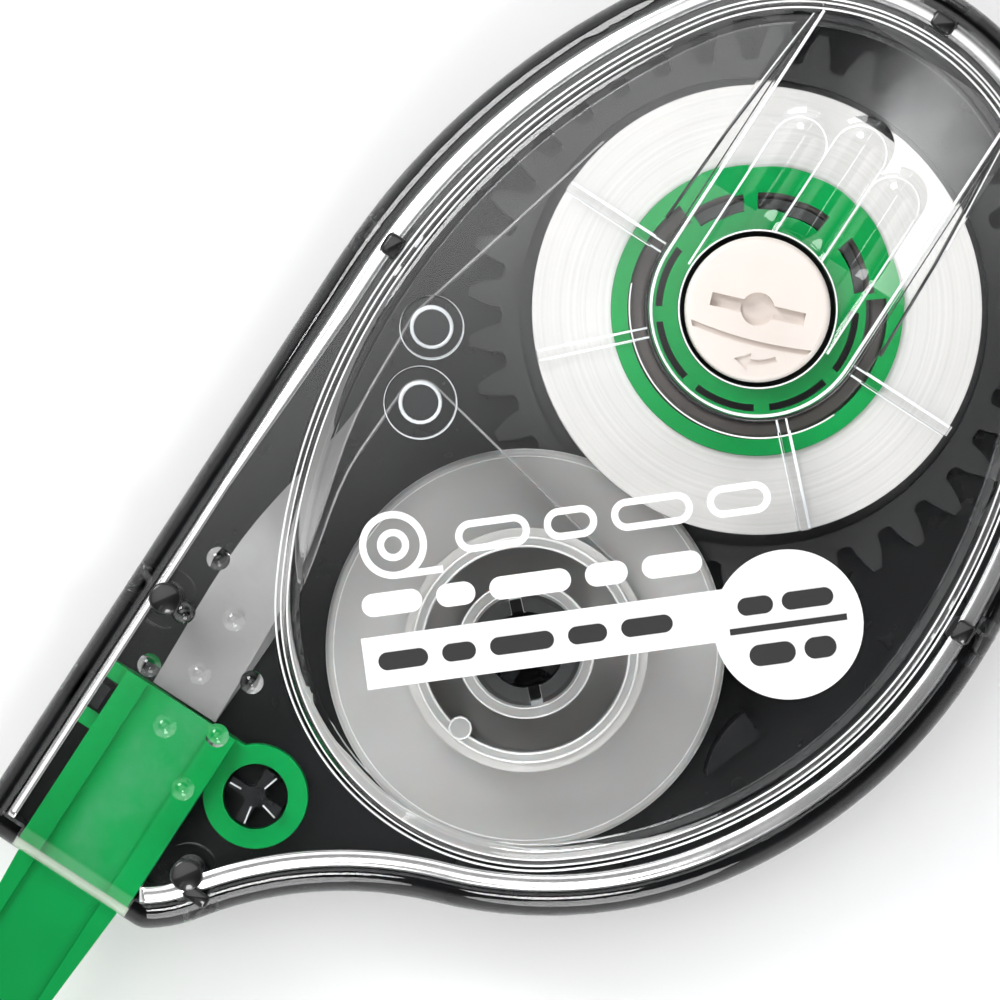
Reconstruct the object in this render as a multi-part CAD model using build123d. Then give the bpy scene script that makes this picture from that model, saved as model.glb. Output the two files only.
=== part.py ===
"""Correction tape dispenser, flat type: a two-part case with a supply roll, a geared take-up
spool with a slip clutch, and a flexible head that lays the tape flat.

Millimetres. +X runs from the head to the round rear end, +Y towards the straight side, +Z up
through the clear cover. The origin is under the middle of the bounding box, on the flat bottom.
"""

from build123d import *
from math import asin, atan2, cos, degrees, hypot, pi, radians, sin, sqrt, tan
import os

# ---- driving dimensions -------------------------------------------------------------------
LENGTH = 87.2
WIDTH = 42.8
X_TIP = -LENGTH / 2
X_REAR = LENGTH / 2
Y_SIDE = WIDTH / 2
X_MOUTH = -25.6

TAPE_WIDTH = 4.2
TAPE_THICKNESS = 0.12
Z_TAPE = 7.4
TAPE_LOW = Z_TAPE - TAPE_WIDTH / 2
TAPE_HIGH = Z_TAPE + TAPE_WIDTH / 2

WALL = 1.2
RIM_BOTTOM = 2.4
PARTING = 7.2
RIM_TOP = 12.0
DOME_TOP = 14.6
RIM_INSET = 3.1
BASE_INSET = 1.5
BASE_WALL = 0.9
RIM_FILLET = 1.3
DOME_FILLET = 1.1
RIM_FLOOR = RIM_BOTTOM + WALL
RIM_CEILING = RIM_TOP - WALL
DOME_CEILING = DOME_TOP - WALL

MODULE = 0.86
DRIVE_TEETH = 36
TAKEUP_TEETH = 18
GEAR_LOW = 1.7
GEAR_HIGH = 3.5
PRESSURE_ANGLE = radians(20)
FLANK_RELIEF = 0.05

SUPPLY = Vector(22.6, 0, 0)
TAKEUP_Y = 0.5
CENTRE_DISTANCE = MODULE * (DRIVE_TEETH + TAKEUP_TEETH) / 2
TAKEUP = Vector(SUPPLY.X - sqrt(CENTRE_DISTANCE**2 - TAKEUP_Y**2), TAKEUP_Y, 0)
MESH_ANGLE = atan2(TAKEUP.Y - SUPPLY.Y, TAKEUP.X - SUPPLY.X)

ROLL_RADIUS = 12.7
CORE_RADIUS = 8.24
CORE_TOP = 9.8
CORE_BORE = 7.33
CLUTCH_OUTER = 7.28
DRUM_RADIUS = 6.35
DRUM_WALL = 0.6
HUB_RADIUS = 3.6
SUPPLY_POST = 2.0
KNOB_RADIUS = 4.1
KNOB_TOP = 11.5
KNOB_HOLE = 4.4

FLANGE_RADIUS = 11.36
WINDING_CORE = 6.4
WINDING_RADIUS = 6.9
TAKEUP_POST = 2.1
RUNNING = 0.06

FEED_PIN = Vector(11.75, 14.84, 0)
RETURN_PIN = Vector(7.85, 13.07, 0)
PIN_RADIUS = 1.15

HEAD_Y = 15.08
HEAD_REAR = -13.8
HEAD_PIVOT = -15.9
EYE = Vector(HEAD_PIVOT, 8.79, 0)
EYE_OUTER = 2.95
EYE_INNER = 1.85
HEAD_WIDTH = 7.25
NECK_WIDTH = 6.65
TIP_WIDTH = 4.8


# ---- small helpers ------------------------------------------------------------------------
def cylinder(centre, radius, low, high):
    """An upright cylinder on the XY position of centre, from low to high."""
    plane = Plane((centre.X, centre.Y, low))
    return extrude(plane * Circle(radius), high - low)


def tube(centre, outer, inner, low, high):
    """An upright tube."""
    plane = Plane((centre.X, centre.Y, low))
    return extrude(plane * (Circle(outer) - Circle(inner)), high - low)


def block(x_range, y_range, z_range):
    """A box between the given ranges."""
    low = Vector(x_range[0], y_range[0], z_range[0])
    high = Vector(x_range[1], y_range[1], z_range[1])
    size = high - low
    return Pos(*((low + high) / 2)) * Box(size.X, size.Y, size.Z)


def polar(centre, radius, angle):
    """The point at an angle, in radians, from a centre."""
    return Vector(centre.X + radius * cos(angle), centre.Y + radius * sin(angle), 0)


def prism(face, low, high):
    """A face of the XY plane, extruded between two heights."""
    return extrude(Pos(0, 0, low) * face, high - low)


def side_profile(points, y_range):
    """A closed profile of (x, z) points, extruded across Y."""
    face = make_face(Polyline(*[(x, y_range[0], z) for x, z in points], close=True))
    return extrude(face, y_range[1] - y_range[0], dir=(0, 1, 0))


# ---- outlines -----------------------------------------------------------------------------
REAR_RADIUS = 17.0
SIDE_X = 12.0


def side_radius(run, height, end_radius):
    """Radius of the flat side arc that meets an end arc smoothly."""
    return (run**2 + height**2 - end_radius**2) / (2 * (height - end_radius))


def rear_arcs(inset):
    """The rear end, from the far side at SIDE_X round to the straight side."""
    half = Y_SIDE - inset
    end_radius = REAR_RADIUS - inset
    centre = Vector(X_REAR - REAR_RADIUS, 0)
    radius = side_radius(centre.X - SIDE_X, half, end_radius)
    low = Vector(SIDE_X, radius - half)
    turn = (centre - low).normalized()
    meet = low + turn * radius
    start = Vector(SIDE_X, -half)
    rear = Vector(X_REAR - inset, 0)
    mirrored = Vector(meet.X, -meet.Y)
    return [
        TangentArc(start, meet, tangent=(1, 0)),
        ThreePointArc(meet, rear, mirrored),
        TangentArc(Vector(SIDE_X, half), mirrored, tangent=(1, 0)),
    ]


def case_face():
    """The outline of the whole case: straight side, waist, nose and round rear end."""
    belly = Vector(-5.4, -16.0)
    waist = Vector(-15.3, -3.0)
    throat = Vector(-23.3, 7.7)
    corner = Vector(X_MOUTH, 10.2)
    first = TangentArc((SIDE_X, -Y_SIDE), belly, tangent=(-1, 0))
    second = TangentArc(belly, waist, tangent=first % 1)
    third = TangentArc(waist, throat, tangent=second % 1)
    fourth = TangentArc(throat, corner, tangent=third % 1)
    front = Line(corner, (X_MOUTH, Y_SIDE))
    side = Line((X_MOUTH, Y_SIDE), (SIDE_X, Y_SIDE))
    face = make_face([*rear_arcs(0), first, second, third, fourth, front, side])
    corners = [v for v in face.vertices() if abs(v.X - X_MOUTH) < 0.01]
    return fillet(corners, 1.4)


def dome_face(inset):
    """The outline of the raised middle, which follows the reels and the rear end."""
    half = Y_SIDE - inset
    radius = 17.6 - inset
    centre = Vector(1.8, 1.2)
    upper = side_radius(SIDE_X - centre.X, half - centre.Y, radius)
    lower = side_radius(SIDE_X - centre.X, half + centre.Y, radius)
    upper_centre = Vector(SIDE_X, half - upper)
    lower_centre = Vector(SIDE_X, lower - half)
    upper_meet = centre + (centre - upper_centre).normalized() * radius
    lower_meet = centre + (centre - lower_centre).normalized() * radius
    nose = centre - Vector(radius, 0)
    return make_face(
        [
            *rear_arcs(inset),
            TangentArc((SIDE_X, half), upper_meet, tangent=(-1, 0)),
            ThreePointArc(upper_meet, nose, lower_meet),
            TangentArc((SIDE_X, -half), lower_meet, tangent=(-1, 0)),
        ]
    )


CASE = case_face()
CASE_INNER = offset(CASE, -WALL)
DOME = dome_face(RIM_INSET)
DOME_INNER = offset(DOME, -WALL)
BASE = dome_face(BASE_INSET)
BASE_INNER = offset(BASE, -BASE_WALL)

# ---- fastening: pegs of the lower case in sockets of the cover ------------------------------
ROUND_PEGS = [(Vector(-9.2, 19.1, 0), 0.9), (Vector(-21.6, 9.6, 0), 0.9)]
SQUARE_PEGS = [
    (Vector(14.4, 19.2, 0), 1.3, 1.1),
    (Vector(41.7, 0, 0), 1.1, 1.5),
    (Vector(13.6, -19.4, 0), 1.3, 1.3),
]
PEG_TOP = RIM_TOP + 0.08
SOCKET_GAP = 0.04
SOCKET_WALL = 0.8
CLAW_TOP = 9.8
CLAW_DEPTH = 0.8
CLAW_WIDTH = 1.6
CLAWS = [(-9.4, Y_SIDE, 0), (HEAD_PIVOT, Y_SIDE, 0), (X_REAR, 0, 90), (13.6, -Y_SIDE, 180)]


def peg(entry, low, high, grow=0.0):
    """One peg of the lower case, or with grow its socket."""
    if len(entry) == 2:
        return cylinder(entry[0], entry[1] + grow, low, high)
    centre, length, width = entry
    outline = RectangleRounded(length + 2 * grow, width + 2 * grow, 0.3)
    return extrude(Plane((centre.X, centre.Y, low)) * outline, high - low)


def claw(entry, low, high, grow=0.0):
    """One outer snap claw, flush with the side wall, or with grow its notch."""
    x, y, turn = entry
    along = CLAW_WIDTH + 2 * grow
    outward = {0: (0, 1), 90: (1, 0), 180: (0, -1)}[turn]
    reach = CLAW_DEPTH + grow
    centre_x = x - outward[0] * reach / 2
    centre_y = y - outward[1] * reach / 2
    size_x = reach if outward[0] else along
    size_y = along if outward[0] else reach
    middle = (low + high) / 2
    return Pos(centre_x, centre_y, middle) * Box(size_x, size_y, high - low)


# ---- gear teeth ---------------------------------------------------------------------------
def gear_face(teeth, phase):
    """An involute gear with one tooth centred at phase, in radians, about the origin."""
    pitch = MODULE * teeth / 2
    base = pitch * cos(PRESSURE_ANGLE)
    tip = pitch + MODULE
    root = pitch - 1.25 * MODULE
    roll_at_pitch = tan(PRESSURE_ANGLE) - PRESSURE_ANGLE
    half_tooth = pi / (2 * teeth) + roll_at_pitch - FLANK_RELIEF / pitch
    start = max(base, root + 0.05)
    radii = [start + (tip - start) * step / 3 for step in range(4)]

    def flank_angle(radius):
        roll = sqrt(max((radius / base) ** 2 - 1, 0))
        return half_tooth - (roll - atan2(roll, 1))

    points = []
    for tooth in range(teeth):
        middle = phase + 2 * pi * tooth / teeth
        rising = [(r, middle - flank_angle(r)) for r in radii]
        falling = [(r, middle + flank_angle(r)) for r in reversed(radii)]
        foot = (root, middle - half_tooth - 0.02)
        heel = (root, middle + half_tooth + 0.02)
        points += [(r * cos(a), r * sin(a)) for r, a in [foot, *rising, *falling, heel]]
    return make_face(Polyline(*points, close=True))


# ---- lower case ---------------------------------------------------------------------------
def cross_post(centre, radius, low, high, rib=0.8):
    """A moulded post of two crossed ribs around a thin round middle."""
    bar = block((-radius, radius), (-rib / 2, rib / 2), (low, high))
    cross = Pos(centre.X, centre.Y, 0) * (bar + Rot(0, 0, 90) * bar)
    return (cross & cylinder(centre, radius, low, high)) + cylinder(centre, rib, low, high)


def mouth_cut():
    """The opening in the nose that the head comes out of."""
    half = HEAD_WIDTH / 2 + 0.15
    return block(
        (X_MOUTH - 1, X_MOUTH + WALL + 0.5),
        (HEAD_Y - half, HEAD_Y + half),
        (RIM_FLOOR, RIM_CEILING),
    )


def lower_case():
    rim = prism(CASE, RIM_BOTTOM, PARTING)
    rim = fillet(rim.edges().group_by(Axis.Z)[0], RIM_FILLET)
    dome = prism(BASE, 0, PARTING)
    dome = fillet(dome.edges().group_by(Axis.Z)[0], DOME_FILLET)
    shell = rim + dome
    shell -= prism(CASE_INNER, RIM_FLOOR, PARTING)
    shell -= prism(BASE_INNER, WALL, PARTING)
    shell += cylinder(SUPPLY, 2.9, WALL, GEAR_LOW - 0.05)
    shell += cylinder(SUPPLY, SUPPLY_POST, WALL, 9.5)
    shell += tube(SUPPLY, 14.4, 13.8, WALL, GEAR_LOW - 0.1)
    shell += cylinder(TAKEUP, 4.2, WALL, GEAR_LOW - 0.05)
    shell += cross_post(TAKEUP, TAKEUP_POST, WALL, 9.0)
    for pin, collar in ((FEED_PIN, 1.7), (RETURN_PIN, 1.95)):
        shell += cylinder(pin, collar, WALL, TAPE_LOW - 0.3)
        shell += cylinder(pin, PIN_RADIUS, WALL, 10.4)
    shell += cylinder(EYE, 2.2, RIM_FLOOR, 5.7)
    shell += cross_post(EYE, 1.65, RIM_FLOOR, 9.4, rib=0.6)
    shell += block((-16.6, -15.2), (18.95, Y_SIDE - WALL - 0.05), (RIM_FLOOR, 9.4))
    shell += block((-16.6, -15.2), (18.95, Y_SIDE - WALL / 2), (RIM_FLOOR, PARTING))
    for entry in ROUND_PEGS + SQUARE_PEGS:
        shell += peg(entry, RIM_FLOOR, PEG_TOP)
    for entry in CLAWS:
        shell += claw(entry, PARTING - 2, CLAW_TOP)
    shell += guard_rib()
    shell -= mouth_cut()
    return shell


def guard_rib():
    """A curved rib beside the take-up flange that keeps loose tape off the side wall."""
    start = polar(TAKEUP, 12.5, radians(-92))
    middle = polar(TAKEUP, 12.1, radians(-82))
    end = polar(TAKEUP, 12.9, radians(-73))
    outer = polar(TAKEUP, 14.2, radians(-77))
    outline = [ThreePointArc(start, middle, end), Line(end, outer), Line(outer, start)]
    return prism(make_face(outline), WALL, 8.4)


# ---- clear upper cover --------------------------------------------------------------------
WELL_HALF = 6.15
WELL_WALL = 0.9
WELL_FLOOR = 11.6
RAMP_START = 27.2
RAMP_END = 39.4
RAMP_RISE = 2.1
FLUTE_PITCH = 3.1
FLUTE_RADIUS = 4.0
FLUTE_LIFT = 3.68
FLUTE_END = 33.0
GUIDE_RIB_ANGLES = (90, 135, 225, 270)
GUIDE_RIB_WIDTH = 0.6
DOT_PITCH = 3.57
DOT_ROWS = [(-5.7, 17.8), (-8.1, 15.2), (-10.5, 12.45)]
DOT_RADIUS = 0.75


def well_face(half):
    """A slot with a round front end on the supply axis, open to the rear."""
    slot = Pos(SUPPLY.X, 0) * Circle(half)
    length = X_REAR - SUPPLY.X + 2
    return slot + Pos(SUPPLY.X + length / 2, 0) * Rectangle(length, 2 * half)


def ramp(depth, half, y_half, top):
    """The well's space: a level floor round the knob that climbs to the rear, lowered by depth."""
    profile = [
        (SUPPLY.X - half - 1, WELL_FLOOR - depth),
        (RAMP_START, WELL_FLOOR - depth),
        (RAMP_END, WELL_FLOOR + RAMP_RISE - depth),
        (X_REAR + 4, WELL_FLOOR + RAMP_RISE - depth),
        (X_REAR + 4, top),
        (SUPPLY.X - half - 1, top),
    ]
    return side_profile(profile, (-y_half, y_half)) & prism(well_face(half), 0, top)


def flutes():
    """Three finger flutes side by side, along the floor from the knob and up the ramp."""
    climb = degrees(atan2(RAMP_RISE, RAMP_END - RAMP_START))
    cuts = []
    for place in (-1, 0, 1):
        y = place * FLUTE_PITCH
        length = FLUTE_END - RAMP_START - abs(place) * 1.4
        level = extrude(
            Plane((SUPPLY.X, y, WELL_FLOOR + FLUTE_LIFT), x_dir=(0, 1, 0), z_dir=(1, 0, 0))
            * Circle(FLUTE_RADIUS),
            RAMP_START - SUPPLY.X,
        )
        start = Pos(RAMP_START, y, WELL_FLOOR + FLUTE_LIFT)
        rod = Rot(0, 90, 0) * Pos(0, 0, length / 2) * Cylinder(FLUTE_RADIUS, length)
        slope = start * Rot(0, -climb, 0) * (rod + Pos(length, 0, 0) * Sphere(FLUTE_RADIUS))
        cuts.append(level + Pos(RAMP_START, y, WELL_FLOOR + FLUTE_LIFT) * Sphere(FLUTE_RADIUS))
        cuts.append(slope)
    return cuts


def upper_cover():
    rim = prism(CASE, PARTING, RIM_TOP)
    rim = fillet(rim.edges().group_by(Axis.Z)[-1], RIM_FILLET)
    dome = prism(DOME, PARTING, DOME_TOP)
    dome = fillet(dome.edges().group_by(Axis.Z)[-1], DOME_FILLET)
    shell = rim + dome
    shell -= prism(CASE_INNER, PARTING, RIM_CEILING)
    shell -= prism(DOME_INNER, PARTING, DOME_CEILING)
    pad_half = WELL_HALF + WELL_WALL
    pad = ramp(WALL, pad_half, pad_half + 1, DOME_TOP - DOME_FILLET)
    shell += pad & prism(offset(DOME, -WALL / 2), PARTING, DOME_TOP)
    shell -= ramp(0, WELL_HALF, WELL_HALF + 1, DOME_TOP + 2)
    lane = prism(well_face(WELL_HALF - 0.4), PARTING, DOME_TOP + 2)
    for cut in flutes():
        shell -= cut & lane
    shell -= cylinder(SUPPLY, KNOB_HOLE, PARTING, DOME_TOP + 2)
    for angle in GUIDE_RIB_ANGLES:
        rib = block(
            (WELL_HALF + 0.2, ROLL_RADIUS),
            (-GUIDE_RIB_WIDTH / 2, GUIDE_RIB_WIDTH / 2),
            (CORE_TOP + 0.2, DOME_CEILING + 0.2),
        )
        shell += Pos(SUPPLY.X, SUPPLY.Y, 0) * Rot(0, 0, angle) * rib
    for pin, outer in ((FEED_PIN, 1.75), (RETURN_PIN, 2.0)):
        shell += tube(pin, outer, PIN_RADIUS + 0.05, TAPE_HIGH + 0.4, DOME_CEILING + 0.2)
    for entry in ROUND_PEGS + SQUARE_PEGS:
        boss = peg(entry, PARTING, RIM_CEILING + 0.2, SOCKET_WALL)
        shell += boss & prism(CASE, PARTING, RIM_TOP - 0.5)
    for entry in ROUND_PEGS + SQUARE_PEGS:
        shell -= peg(entry, PARTING, PEG_TOP + 0.5, SOCKET_GAP)
    for entry in CLAWS:
        shell -= claw(entry, PARTING, CLAW_TOP + 0.05, SOCKET_GAP)
    for row_x, row_y in DOT_ROWS:
        for step in range(3):
            centre = Pos(row_x - step * DOT_PITCH, row_y, RIM_TOP - 0.35)
            shell += centre * Sphere(DOT_RADIUS)
    shell -= mouth_cut()
    return shell


# ---- drive gear, clutch, knob ---------------------------------------------------------------
def drive_gear():
    """The large gear with the hub it turns on and the drum that carries the clutch ring."""
    teeth = prism(gear_face(DRIVE_TEETH, MESH_ANGLE), GEAR_LOW, GEAR_HIGH)
    gear = Pos(SUPPLY.X, SUPPLY.Y, 0) * teeth
    gear -= tube(SUPPLY, 13.4, 8.2, GEAR_HIGH - 0.5, GEAR_HIGH)
    gear += cylinder(SUPPLY, DRUM_RADIUS, GEAR_HIGH, 4.2)
    gear += tube(SUPPLY, DRUM_RADIUS, DRUM_RADIUS - DRUM_WALL, 4.2, 9.2)
    gear += cylinder(SUPPLY, HUB_RADIUS, 4.2, 9.9)
    gear -= cylinder(SUPPLY, SUPPLY_POST + RUNNING, GEAR_LOW, 9.9)
    return gear


def clutch_ring():
    """A rubber ring on the drum that drags the supply core round and slips under load."""
    ring = tube(SUPPLY, CLUTCH_OUTER, DRUM_RADIUS + 0.01, 5.4, 9.0)
    return fillet(ring.edges().filter_by(GeomType.CIRCLE), 0.25)


def slack_knob():
    """The round knob in the cover's window: it winds in slack tape by hand."""
    knob = tube(SUPPLY, KNOB_RADIUS, HUB_RADIUS + 0.01, 8.7, 9.95)
    knob += cylinder(SUPPLY, KNOB_RADIUS, 9.95, KNOB_TOP)
    top = knob.faces().sort_by(Axis.Z)[-1]
    knob = fillet(top.edges(), 0.3)
    place = Pos(SUPPLY.X, SUPPLY.Y, KNOB_TOP) * Rot(0, 0, -70)
    slot = place * Box(5.4, 0.75, 1.2)
    knob -= slot
    knob -= cylinder(SUPPLY, 0.95, KNOB_TOP - 0.8, KNOB_TOP + 1)
    arc_centre = SUPPLY + Vector(20.3, 6.74, 0)
    groove = tube(arc_centre, 23.45, 23.15, KNOB_TOP - 0.3, KNOB_TOP + 1)
    knob -= groove & cylinder(SUPPLY, KNOB_RADIUS - 0.3, KNOB_TOP - 1, KNOB_TOP + 1)
    knob -= sector(2.85, 3.15, -160, -127, KNOB_TOP - 0.2, KNOB_TOP + 1)
    tip = Triangle(a=1.0, b=1.0, c=1.0)
    head_place = polar(SUPPLY, 3.0, radians(-162))
    arrow = Pos(head_place.X, head_place.Y) * Rot(0, 0, -162 + 180) * tip
    knob -= prism(arrow, KNOB_TOP - 0.2, KNOB_TOP + 1)
    return knob


# ---- supply core and roll -------------------------------------------------------------------
BRIDGE_LOW = 9.3
CORE_RING_OUTER = 6.15
CORE_RING_INNER = 4.5
BRIDGE_SPAN = (-52, 70)
WINDOW_SPANS = ((-49, -18), (-6, 33), (41, 67))
SLIT_SPANS = ((85, 121), (130, 166), (175, 211), (220, 256), (265, 301))


def sector(inner, outer, start, end, low, high):
    """A ring sector about the supply axis, angles in degrees."""
    step = radians((end - start) / 2)
    begin = radians(start)
    corners = [polar(SUPPLY, r, begin + k * step) for r in (inner, outer) for k in range(3)]
    outline = [
        ThreePointArc(*corners[:3]),
        Line(corners[2], corners[5]),
        ThreePointArc(*reversed(corners[3:])),
        Line(corners[3], corners[0]),
    ]
    return prism(make_face(outline), low, high)


def supply_core():
    """The green core the tape is wound on, with a lower flange and a bridge over the clutch."""
    core = tube(SUPPLY, CORE_RADIUS, CORE_BORE, 4.4, CORE_TOP)
    core += tube(SUPPLY, 9.4, CORE_BORE, 4.4, TAPE_LOW - 0.15)
    core += tube(SUPPLY, CORE_RING_OUTER, CORE_RING_INNER, BRIDGE_LOW, CORE_TOP)
    core += tube(SUPPLY, CORE_RING_INNER + 0.5, CORE_RING_INNER, 7.6, CORE_TOP)
    core += sector(CORE_RING_OUTER - 0.2, CORE_BORE + 0.3, *BRIDGE_SPAN, BRIDGE_LOW, CORE_TOP)
    for start, end in WINDOW_SPANS:
        core -= sector(5.65, 6.7, start, end, BRIDGE_LOW - 0.1, CORE_TOP + 0.1)
    for start, end in SLIT_SPANS:
        core -= sector(5.35, 5.75, start, end, BRIDGE_LOW - 0.1, CORE_TOP + 0.1)
    return core


def tape_roll():
    """The unused tape, wound on the core."""
    return tube(SUPPLY, ROLL_RADIUS, CORE_RADIUS + 0.02, TAPE_LOW, TAPE_HIGH)


# ---- take-up spool --------------------------------------------------------------------------
SLEEVE_RADIUS = 2.9
SLEEVE_BORE = TAKEUP_POST + RUNNING
SNAP_ARMS = 4
FLANGE_LOW = 4.0
FLANGE_HIGH = 4.8


def takeup_gear():
    """The small gear with the sleeve it turns on, slotted into snap arms at the top."""
    phase = MESH_ANGLE + pi + pi / TAKEUP_TEETH
    teeth = prism(gear_face(TAKEUP_TEETH, phase), GEAR_LOW, GEAR_HIGH)
    gear = Pos(TAKEUP.X, TAKEUP.Y, 0) * teeth
    gear += cylinder(TAKEUP, 6.3, GEAR_HIGH, FLANGE_LOW)
    gear += cylinder(TAKEUP, SLEEVE_RADIUS, FLANGE_LOW, 9.3)
    lip = Plane((TAKEUP.X, TAKEUP.Y, 9.0)) * Circle(SLEEVE_RADIUS)
    gear += extrude(lip, 0.3, taper=-40) + extrude(Pos(0, 0, 0.6) * lip, 0.3, taper=-40, dir=(0, 0, -1))
    for arm in range(SNAP_ARMS):
        slot = block((SLEEVE_BORE - 0.2, 4), (-0.35, 0.35), (6.6, 10))
        gear -= Pos(TAKEUP.X, TAKEUP.Y, 0) * Rot(0, 0, 45 + 360 / SNAP_ARMS * arm) * slot
    gear -= cylinder(TAKEUP, SLEEVE_BORE, GEAR_LOW, 10)
    return gear


def takeup_spool():
    """The translucent spool, snapped onto the sleeve: wide lower flange, core wall and hub."""
    flange = cylinder(TAKEUP, FLANGE_RADIUS, FLANGE_LOW, FLANGE_HIGH)
    spool = fillet(flange.edges().filter_by(GeomType.CIRCLE), 0.25)
    spool += tube(TAKEUP, WINDING_CORE, WINDING_CORE - 0.6, FLANGE_HIGH, 9.7)
    spool += cylinder(polar(TAKEUP, 5.75, radians(173)), 0.65, FLANGE_HIGH, 9.9)
    spool += cylinder(TAKEUP, 3.9, FLANGE_HIGH, 8.9)
    spool -= cylinder(TAKEUP, SLEEVE_RADIUS + 0.01, FLANGE_LOW, 9.0)
    return spool


def takeup_winding():
    """The first turns of spent backing tape."""
    return tube(TAKEUP, WINDING_RADIUS, WINDING_CORE + 0.01, TAPE_LOW, TAPE_HIGH)


# ---- head -----------------------------------------------------------------------------------
BLADE_HALF = 0.6
BLADE_TIP_HALF = 0.3
CHANNEL = 0.5
PLATE = 0.75
PLATE_TIP = 0.45
RAIL_STEP = 0.35
PLATE_END = -39.4
EAR_END = -42.1
TAPE_GAP = 0.04
X_BLADE = X_TIP + TAPE_GAP + TAPE_THICKNESS
TAPER_START = X_MOUTH - 0.6


def wedge(extra_root, extra_tip, rear, front):
    """Side profile of a layer around the blade: half heights grow by the extras."""
    root = BLADE_HALF + extra_root
    share = (TAPER_START - front) / (TAPER_START - X_BLADE)
    tip = BLADE_HALF + (BLADE_TIP_HALF - BLADE_HALF) * share
    tip += extra_root + (extra_tip - extra_root) * share
    return [
        (rear, Z_TAPE - root),
        (TAPER_START, Z_TAPE - root),
        (front, Z_TAPE - tip),
        (front, Z_TAPE + tip),
        (TAPER_START, Z_TAPE + root),
        (rear, Z_TAPE + root),
    ]


def head_plan(front):
    """Plan outline of the head: body in the nose, neck and tapered snout."""
    half_body, half_neck, half_tip = HEAD_WIDTH / 2, NECK_WIDTH / 2, TIP_WIDTH / 2
    right = [
        (HEAD_REAR, -half_body),
        (X_MOUTH + 0.9, -half_body),
        (X_MOUTH + 0.3, -half_neck),
        (X_MOUTH - 14, -half_tip),
        (front, -half_tip),
    ]
    left = [(x, -y) for x, y in reversed(right)]
    points = [(x, HEAD_Y + y) for x, y in right + left]
    return make_face(Polyline(*points, close=True))


def head():
    """One flexible moulding: tube with two tape channels round a blade, eye and hook tabs."""
    lane = TAPE_WIDTH / 2 + 0.15
    lane_range = (HEAD_Y - lane, HEAD_Y + lane)
    full_range = (HEAD_Y - HEAD_WIDTH, HEAD_Y + HEAD_WIDTH)
    rail_root = CHANNEL + PLATE + RAIL_STEP
    rail_tip = CHANNEL + PLATE_TIP + RAIL_STEP
    rails = side_profile(wedge(rail_root, rail_tip, HEAD_REAR, EAR_END), full_range)
    plates = side_profile(
        wedge(CHANNEL + PLATE, CHANNEL + PLATE_TIP, HEAD_REAR, PLATE_END), full_range
    )
    rails -= side_profile(wedge(rail_root + 1, rail_tip + 1, HEAD_REAR + 1, EAR_END - 1), lane_range)
    body = (rails + plates) & prism(head_plan(EAR_END - 1), 0, DOME_TOP)
    body -= side_profile(wedge(CHANNEL, CHANNEL, HEAD_REAR + 1, PLATE_END - 1), lane_range)
    blade_face = wedge(0, 0, HEAD_REAR - 0.5, X_BLADE + BLADE_TIP_HALF)
    blade = side_profile(blade_face, (HEAD_Y - lane - 0.3, HEAD_Y + lane + 0.3))
    blade &= block((EAR_END, 0), full_range, (0, DOME_TOP))
    tongue = side_profile(blade_face, (HEAD_Y - lane + 0.1, HEAD_Y + lane - 0.1))
    body += blade + tongue + tip_round(BLADE_TIP_HALF, TAPE_WIDTH + 0.1)
    body += cylinder(EYE, EYE_OUTER, 6.0, 8.8)
    body += block((-16.6, HEAD_REAR), (HEAD_Y - HEAD_WIDTH / 2 - 1.0, HEAD_Y - 3), (6.0, 8.8))
    body -= cylinder(EYE, EYE_INNER, 5, 10)
    for x_range in ((-14.8, HEAD_REAR), (-17.8, -16.8)):
        top = HEAD_Y + HEAD_WIDTH / 2
        body += block(x_range, (top - 0.5, top + 1.25), (6.0, 8.8))
    return body


def tip_round(radius, width):
    """The rounded edge of the blade, or of the tape round it."""
    centre_x = X_BLADE + BLADE_TIP_HALF
    plane = Plane((centre_x, HEAD_Y + width / 2, Z_TAPE), z_dir=(0, -1, 0))
    return extrude(plane * Circle(radius), width)


def head_tape():
    """The tape in the head: over the blade, round its edge and back underneath."""
    lane_range = (HEAD_Y - TAPE_WIDTH / 2, HEAD_Y + TAPE_WIDTH / 2)
    front = X_BLADE + BLADE_TIP_HALF
    outer_gap = TAPE_GAP + TAPE_THICKNESS
    rear = HEAD_REAR - 0.3
    outer = side_profile(wedge(outer_gap, outer_gap, rear, front), lane_range)
    outer += tip_round(BLADE_TIP_HALF + outer_gap, TAPE_WIDTH)
    inner = side_profile(wedge(TAPE_GAP, TAPE_GAP, rear + 1, front), lane_range)
    inner += tip_round(BLADE_TIP_HALF + TAPE_GAP, TAPE_WIDTH)
    return outer - inner


# ---- free tape runs -------------------------------------------------------------------------
TWIST_STEPS = 16
TWIST_START = 0.18
TWIST_END = 0.86
PIN_OFFSET = PIN_RADIUS + 0.05 + TAPE_THICKNESS / 2
STRAND_END = HEAD_REAR + 0.15
HEAD_OFFSET = BLADE_HALF + TAPE_GAP + TAPE_THICKNESS / 2


def outer_tangent(first, first_radius, second, second_radius, side):
    """Touch points of the straight line along one side of two circles, side +1 left or -1 right."""
    delta = second - first
    heading = atan2(delta.Y, delta.X)
    lean = asin((first_radius - second_radius) / delta.length)
    angle = heading + side * (pi / 2 - lean)
    return polar(first, first_radius, angle), polar(second, second_radius, angle)


def upright_run(start, end):
    """A straight run of tape standing on edge between two points of the plan."""
    heading = degrees(atan2(end.Y - start.Y, end.X - start.X))
    length = hypot(end.X - start.X, end.Y - start.Y)
    run = Box(length, TAPE_THICKNESS, TAPE_WIDTH)
    middle = (start + end) / 2
    return Pos(middle.X, middle.Y, Z_TAPE) * Rot(0, 0, heading) * run


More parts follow.
